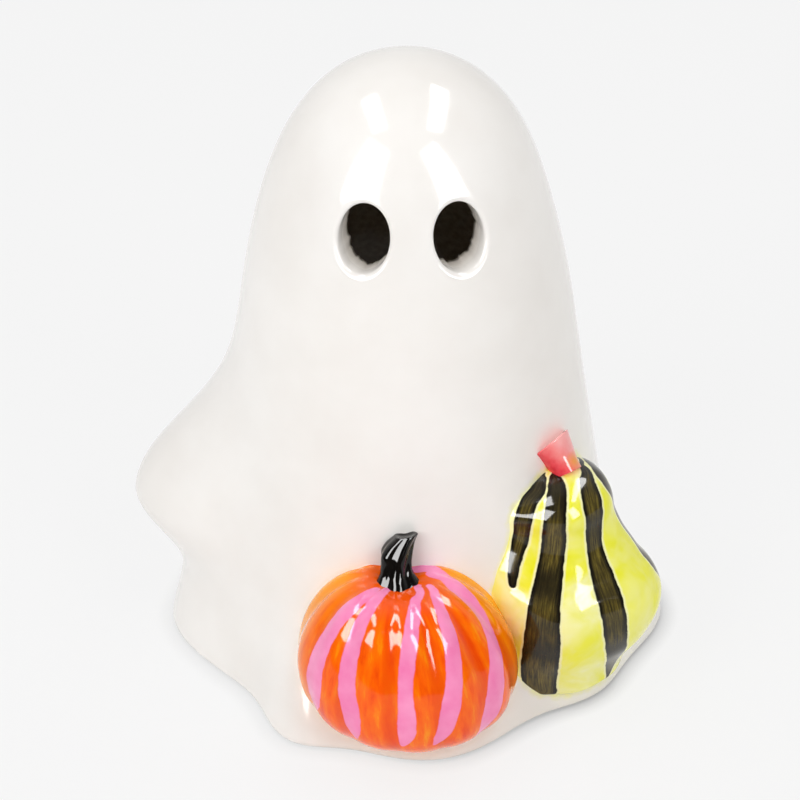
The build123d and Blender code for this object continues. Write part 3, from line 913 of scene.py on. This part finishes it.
BLACK_STRIPES = [  # turn in degrees, share of the height, half width in millimetres
    [(-61, 0.991, 0.4), (-46, 0.983, 1.4), (-34, 0.965, 2.2), (-34, 0.939, 2.2), (-30, 0.881, 2.2),
     (-33, 0.770, 1.9), (-32, 0.686, 1.5), (-30, 0.629, 1.2), (-29, 0.604, 1.0)],
    [(-37, 0.995, 0.5), (-11, 0.989, 1.7), (-2, 0.974, 2.1), (0, 0.954, 2.3), (1, 0.893, 2.5),
     (-1, 0.796, 2.7), (-3, 0.706, 2.7), (-4, 0.632, 3.1), (-5, 0.561, 3.4), (-5, 0.486, 3.8),
     (-6, 0.392, 4.2), (-9, 0.274, 4.3), (-13, 0.145, 4.1), (-14, 0.08, 3.8)],
    [(164, 0.978, 0.4), (114, 0.993, 0.7), (60, 0.977, 1.8), (51, 0.941, 2.6), (47, 0.891, 2.7),
     (46, 0.825, 2.4), (44, 0.737, 2.0), (44, 0.677, 2.3), (45, 0.620, 2.8), (45, 0.558, 3.1),
     (45, 0.489, 3.1), (46, 0.395, 3.0), (49, 0.302, 2.8), (56, 0.197, 2.4), (62, 0.09, 1.2), (60, 0.045, 0.3)],
    [(168, 0.950, 0.8), (142, 0.965, 1.6), (104, 0.955, 2.1), (95, 0.925, 1.8), (98, 0.864, 1.1),
     (102, 0.754, 1.2), (109, 0.671, 1.7), (108, 0.617, 2.1), (105, 0.564, 2.0), (102, 0.524, 1.7),
     (102, 0.485, 0.8)],
]
gourd = bake_recipe("gourd_glazed", gourd_tree, GOURD_SIZES, yellow_glaze)
strokes = lay_strokes(read_points(gourd.data), gourd_form, BLACK_STRIPES)
strokes["clear"] = press_on_sheet(gourd.data)
store_values(gourd.data, strokes)
FREE = 0.4  # millimetres clear of the sheet from which the gourd's paint counts as showing
painted = read_points(gourd.data)[strokes["clear"] > FREE]
finder = kdtree.KDTree(len(painted))
for k, spot in enumerate(painted):
    finder.insert(spot, k)
finder.balance()
beside_gourd = np.array([finder.find(spot)[2] for spot in ghost_points])
store_values(ghost.data, {"beside_gourd": beside_gourd})
print("gourd: %d faces, %.2f mm from the sheet" % (len(gourd.data.polygons), beside_gourd.min()))

# %% [markdown]
# ## Stems
# Both stems were rolled from clay, pinched and cut off. Each is a tube of rings: a short table of height,
# radius and two shifts, with grooves between its ridges, and a slanting cut end that is slightly hollow.

# %% Rings for a stem
END_RING = 0.2  # radius of the small ring that closes each end


def stem_rings(table, ridges, groove, twist, slant, around, steps):
    """Rings of a stem along +Z in a local frame, one after another, ending in a hollow slanting cut."""
    spread = smooth_table(table, steps, passes=8)
    end = spread[-1]
    rim = [(0.16, 0.14), (0.2, 0.4), (0.1, 0.9), (-0.15, 0.55 * end[1]), (-0.25, end[1] - END_RING)]
    rim = [end + np.array([rise, -narrower, 0.0, 0.0]) for rise, narrower in rim]
    foot = spread[0] * (1.0, 0.0, 1.0, 1.0) + (0.0, END_RING, 0.0, 0.0)
    spread = np.concatenate([[foot], spread, rim])
    turn = np.arange(around) * FULL_TURN / around
    wave = (0.5 - 0.5 * np.cos(ridges * turn)) ** 1.5
    rows = []
    for height, radius, shift, back in spread:
        rise = min(max(height / end[0], 0.0), 1.0)
        angle = turn + math.radians(twist) * rise
        kept = radius * (1.0 - groove * (1.0 - 0.6 * rise**4) * wave)
        aside, ahead = kept * np.sin(angle), kept * np.cos(angle)
        cut = (slant[0] * aside + slant[1] * ahead) * rise**3
        rows.append(np.stack([shift + aside, back - ahead, height + cut], axis=-1))
    return np.array(rows)


def ring_faces(rows, around):
    """Faces between rings, closed at both ends by their small first and last rings."""
    numbers = np.arange(rows * around).reshape(rows, around)
    found = []
    for near, far in zip(numbers[:-1], numbers[1:]):
        found += ring_quads(near, far)
    return found + [numbers[0, ::-1].tolist(), numbers[-1].tolist()]


# %% [markdown]
# ### Black glaze
# The pumpkin's stem has a thick black gloss glaze with faint clouds of dark brown.

# %% Pumpkin stem
black_glaze, tree, shader, place = new_glaze("black_gloss_glaze", 0.08)
tint = mottle(tree, place, 2.5, 3.0, [(0.35, "#070605"), (0.75, "#14100d")])
finish_glaze(tree, shader, place, tint, size_mm=1.6, height_mm=0.012)
STEM_AROUND = 120
CROWN = np.array([-0.8, -38.5, 39.7])  # seat of the stem on the pumpkin
STEM_TABLE = [  # height above the seat, radius, shift toward +X, shift back toward the sheet
    (-1.2, 5.1, 0.0, 0.0), (0.2, 5.0, 0.0, 0.0), (1.0, 4.4, -0.1, 0.2), (2.2, 3.6, -0.4, 0.6),
    (4.0, 3.4, -0.5, 1.4), (6.0, 3.6, -0.4, 2.4), (7.8, 3.2, 0.4, 3.3), (9.2, 2.7, 1.6, 4.0),
]
local = stem_rings(STEM_TABLE, ridges=5, groove=0.17, twist=30.0, slant=(0.14, 0.3), around=STEM_AROUND, steps=60)
stem = make_piece("pumpkin_stem_glazed", local.reshape(-1, 3) + CROWN, ring_faces(len(local), STEM_AROUND), {})
stem.data.materials.append(black_glaze)
print("pumpkin stem:", len(stem.data.polygons), "faces")

# %% [markdown]
# ### Coral glaze
# The gourd's stem is a stub, flared to its cut end, in a coral stain that runs into the gourd's yellow at its
# foot. It is painted red low on one side as painted shade, and paler pink on the lit side as painted light.

# %% Gourd stem
coral_glaze, tree, shader, place = new_glaze("coral_stain_glaze", 0.1)
painted_shade, yellowed = (
    add(tree, "ShaderNodeAttribute", {"attribute_name": label}).outputs["Fac"]
    for label in ("painted_shade", "yellowed")
)
cloud = add(tree, "ShaderNodeTexNoise", {}, {"Vector": place, "Scale": 1.0 / (2.5 * MM), "Detail": 3.0})
# The share of red, highest low on one side of the stub, is painted shade; the noise only varies it.
depth = add(tree, "ShaderNodeMath", {"operation": "MULTIPLY_ADD"}, {0: cloud, 1: 0.5, 2: painted_shade})
tint = add(tree, "ShaderNodeValToRGB", {}, {"Fac": depth})
set_ramp(tint, [(0.2, "#fbaeac"), (0.5, "#f68987"), (0.85, "#ec545a"), (1.0, "#dd3642")])
coral = add(tree, "ShaderNodeMix", COLOURS, {"Factor": yellowed, "A": tint, "B": paint("#f3a13c")})
finish_glaze(tree, shader, place, coral, size_mm=2.0, height_mm=0.012)
STUB_AROUND = 96
STUB_AXIS = np.array([-0.42, 0.50, 0.76])
STUB_TABLE = [  # columns as for the pumpkin's stem, along the stub's own axis
    (-1.6, 3.4, 0.0, 0.0), (0.2, 3.4, -0.1, 0.0), (2.2, 3.8, -0.3, 0.0),
    (4.2, 4.5, -0.7, 0.0), (5.7, 5.0, -1.0, 0.0),
]
local = stem_rings(STUB_TABLE, ridges=3, groove=0.05, twist=0.0, slant=(0.25, 0.0), around=STUB_AROUND, steps=44)
local = local.reshape(-1, 3)
up = STUB_AXIS / np.linalg.norm(STUB_AXIS)
ahead = np.cross(up, [1.0, 0.0, 0.0])
ahead = ahead / np.linalg.norm(ahead)
lean = np.stack([np.cross(ahead, up), ahead, up], axis=-1)
gourd_top = np.array([
    GOURD_SIZES["Foot X"] + GOURD_SIZES["Lean X"],
    GOURD_SIZES["Foot Y"] + GOURD_SIZES["Lean Y"],
    GOURD_SIZES["Lift"] + GOURD_SIZES["Height"],
])
stub_faces = ring_faces(len(local) // STUB_AROUND, STUB_AROUND)
stub = make_piece("gourd_stem_glazed", local @ lean.T + gourd_top, stub_faces, {
    # Redder low on one side of the stub: painted shade.
    "painted_shade": np.clip(0.3 - 0.12 * local[:, 0] - 0.08 * (local[:, 2] - 2.5), 0.0, 1.0),
    "yellowed": np.clip(1.0 - np.hypot(local[:, 0] - 2.6, local[:, 2] - 0.2) / 2.4, 0.0, 0.9),
})
stub.data.materials.append(coral_glaze)
print("gourd stem:", len(stub.data.polygons), "faces")

# %% [markdown]
# ## Riding on the frame
# Nothing moves on this ornament, so every piece rides on the one root body and stands for its CAD part.

# %% Tie the pieces to the frame
RIDING = (
    (ghost, "ghost_body"),
    (pumpkin, "pumpkin"),
    (stem, "pumpkin_stem"),
    (gourd, "gourd"),
    (stub, "gourd_stem"),
)
for piece, node in RIDING:
    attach(piece, "root")
    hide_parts(node)
print("pieces:", len(RIDING))

# %% [markdown]
# ## Floor, light and camera
# The ornament stands on a plain pale floor that runs out of the picture and darkens a little close to the
# hem, more on the right, away from the stronger lamp. Two tall soft boxes stand left and right of the
# camera and two strips hang overhead: they give the paired window shapes that every glossy bulge shows.
# Just behind each lamp is a brighter card that only the glaze sees, so that the windows stay crisp.

# %% Floor
CORNERS = ((-1, -1), (1, -1), (1, 1), (-1, 1))
FLOOR_HALF, FLOOR_DROP = 3.0, 0.0002  # metres: half its side, and a hair's gap under the foot
FLOOR_EVEN = 0.86  # share of the floor's look that no lamp changes
CONTACT_REACH = 4.5  # millimetres over which the shade at the hem fades
floor_paint, tree = new_material("matt_white_floor")
speck = add(tree, "ShaderNodeTexNoise", {}, {"Scale": 40.0, "Detail": 2.0})
tone = add(tree, "ShaderNodeValToRGB", {}, {"Fac": speck})
set_ramp(tone, [(0.3, "#efefef"), (0.7, "#f1f1f1")])
matt = add(tree, "ShaderNodeBsdfDiffuse", {}, {"Color": tone})
near = add(tree, "ShaderNodeAmbientOcclusion", {}, {"Distance": CONTACT_REACH * MM})
spot = add(tree, "ShaderNodeTexCoord")
across_floor = add(tree, "ShaderNodeSeparateXYZ", {}, {"Vector": spot.outputs["Object"]})
shade = add(tree, "ShaderNodeMapRange", SMOOTH, {
    "Value": across_floor.outputs["X"], "From Min": -0.01, "From Max": 0.05, "To Min": 0.84, "To Max": 0.4,
})
contact = add(tree, "ShaderNodeMapRange", {},
              {"Value": near.outputs["AO"], "From Min": 0.3, "To Min": shade, "To Max": 1.0})
even = add(tree, "ShaderNodeEmission", {}, {"Color": paint("#f8f8f8"), "Strength": contact})
seen = add(tree, "ShaderNodeLightPath")
looked_at = add(tree, "ShaderNodeMath", {"operation": "MAXIMUM"},
                {0: seen.outputs["Is Camera Ray"], 1: seen.outputs["Is Glossy Ray"]})
looked_through = add(tree, "ShaderNodeMath", {"operation": "MAXIMUM"},
                     {0: looked_at, 1: seen.outputs["Is Transmission Ray"]})
share = add(tree, "ShaderNodeMath", {"operation": "MULTIPLY"}, {0: looked_through, 1: FLOOR_EVEN})
mixed = add(tree, "ShaderNodeMixShader", {}, {0: share, 1: matt, 2: even})
add(tree, "ShaderNodeOutputMaterial", {}, {"Surface": mixed})
floor_mesh = bpy.data.meshes.new("floor")
corners = [(x * FLOOR_HALF, y * FLOOR_HALF, 0.0) for x, y in CORNERS]
floor_mesh.from_pydata(corners, [], [(0, 1, 2, 3)])
floor = bpy.data.objects.new("floor", floor_mesh)
floor.location.z = -FLOOR_DROP
bpy.context.scene.collection.objects.link(floor)
floor_mesh.materials.append(floor_paint)

# %% Lights
LIGHT_TARGET = np.array([AXIS_X, AXIS_Y, 110.0]) * MM
GLOSS = 20.0  # brightness of a card, seen in the glaze only
CARD_BEHIND = 0.01  # metres behind its lamp
SOFT_BOXES = [  # name, middle from the target, width, height, turn, tilt and roll in degrees, brightness
    ("left_soft_box", (-0.663, -0.749, 0.713), 0.59, 1.00, -41.5, 90.0, -4.0, 3.3),
    ("right_soft_box", (0.609, -0.793, 0.720), 0.42, 1.03, 37.5, 90.0, 13.0, 2.75),
    ("left_overhead_strip", (-0.48, -0.03, 1.0), 0.25, 0.68, 0.0, 0.0, 6.0, 3.1),
    ("right_overhead_strip", (0.47, 0.07, 1.0), 0.27, 0.88, 0.0, 0.0, 2.0, 2.7),
]
shine_paper, tree = new_material("bright_gloss_card")
glow = add(tree, "ShaderNodeEmission", {}, {"Color": paint("#ffffff"), "Strength": GLOSS})
add(tree, "ShaderNodeOutputMaterial", {}, {"Surface": glow})
for name, middle, width, height, turned, tilt, roll, brightness in SOFT_BOXES:
    lamp = bpy.data.lights.new(name, "AREA")
    lamp.shape = "RECTANGLE"
    lamp.size, lamp.size_y = width, height
    lamp.energy = brightness * math.pi * width * height
    box = bpy.data.objects.new(name, lamp)
    sheet = bpy.data.meshes.new(name + "_card")
    corners = [(x * width / 2.0, y * height / 2.0, CARD_BEHIND) for x, y in CORNERS]
    sheet.from_pydata(corners, [], [(3, 2, 1, 0)])
    sheet.materials.append(shine_paper)
    card = bpy.data.objects.new(name + "_card", sheet)
    card.visible_camera = card.visible_diffuse = card.visible_shadow = card.visible_transmission = False
    for thing in (box, card):
        thing.location = LIGHT_TARGET + np.array(middle)
        thing.rotation_euler = (math.radians(tilt), 0.0, math.radians(turned))
        thing.rotation_euler.rotate_axis("Z", math.radians(roll))
        bpy.context.scene.collection.objects.link(thing)

# %% [markdown]
# The surround is a white sweep behind the ornament and a dim room in front of it. The sweep lights the
# rims of the white glaze, while the dim room keeps the painted colours deep and leaves only the soft boxes
# to shine in them. As light on matt surfaces both count the same.

# %% Surround
SURROUND = 0.47  # brightness as light on matt surfaces
BACKDROP = 0.913  # brightness as seen by the camera
world = bpy.data.worlds.new("white_sweep_and_dim_room")
world.use_nodes = True
tree = world.node_tree
tree.nodes.clear()
toward = add(tree, "ShaderNodeSeparateXYZ", {}, {0: add(tree, "ShaderNodeTexCoord").outputs["Generated"]})
sweep = add(tree, "ShaderNodeMapRange", SMOOTH,
            {"Value": toward.outputs["Y"], "From Min": -0.25, "From Max": 0.55, "To Min": 0.07, "To Max": 0.92})
seen = add(tree, "ShaderNodeLightPath")
shine = add(tree, "ShaderNodeMix", {"data_type": "FLOAT"},
            {"Factor": seen.outputs["Is Glossy Ray"], "A": SURROUND, "B": sweep})
clear_view = add(tree, "ShaderNodeMath", {"operation": "MAXIMUM"},
                 {0: seen.outputs["Is Camera Ray"], 1: seen.outputs["Is Transmission Ray"]})
brightness = add(tree, "ShaderNodeMix", {"data_type": "FLOAT"},
                 {"Factor": clear_view, "A": shine, "B": BACKDROP})
glow = add(tree, "ShaderNodeBackground", {}, {"Color": paint("#ffffff"), "Strength": brightness})
add(tree, "ShaderNodeOutputWorld", {}, {"Surface": glow})
bpy.context.scene.world = world

# %% Camera
CAMERA_RISE = math.radians(32.0)
CAMERA_AWAY = 0.62  # metres
CAMERA_AIM = np.array([AXIS_X - 1.35, AXIS_Y, 55.5]) * MM
view = bpy.data.cameras.new("camera")
view.sensor_width = 36.0
view.lens = 123.75
view.clip_start = 0.05
camera = bpy.data.objects.new("camera", view)
camera.location = CAMERA_AIM + CAMERA_AWAY * np.array([0.0, -math.cos(CAMERA_RISE), math.sin(CAMERA_RISE)])
camera.rotation_euler = (math.radians(90.0) - CAMERA_RISE, 0.0, 0.0)
bpy.context.scene.collection.objects.link(camera)
bpy.context.scene.camera = camera
bpy.context.scene.view_settings.view_transform = "Standard"
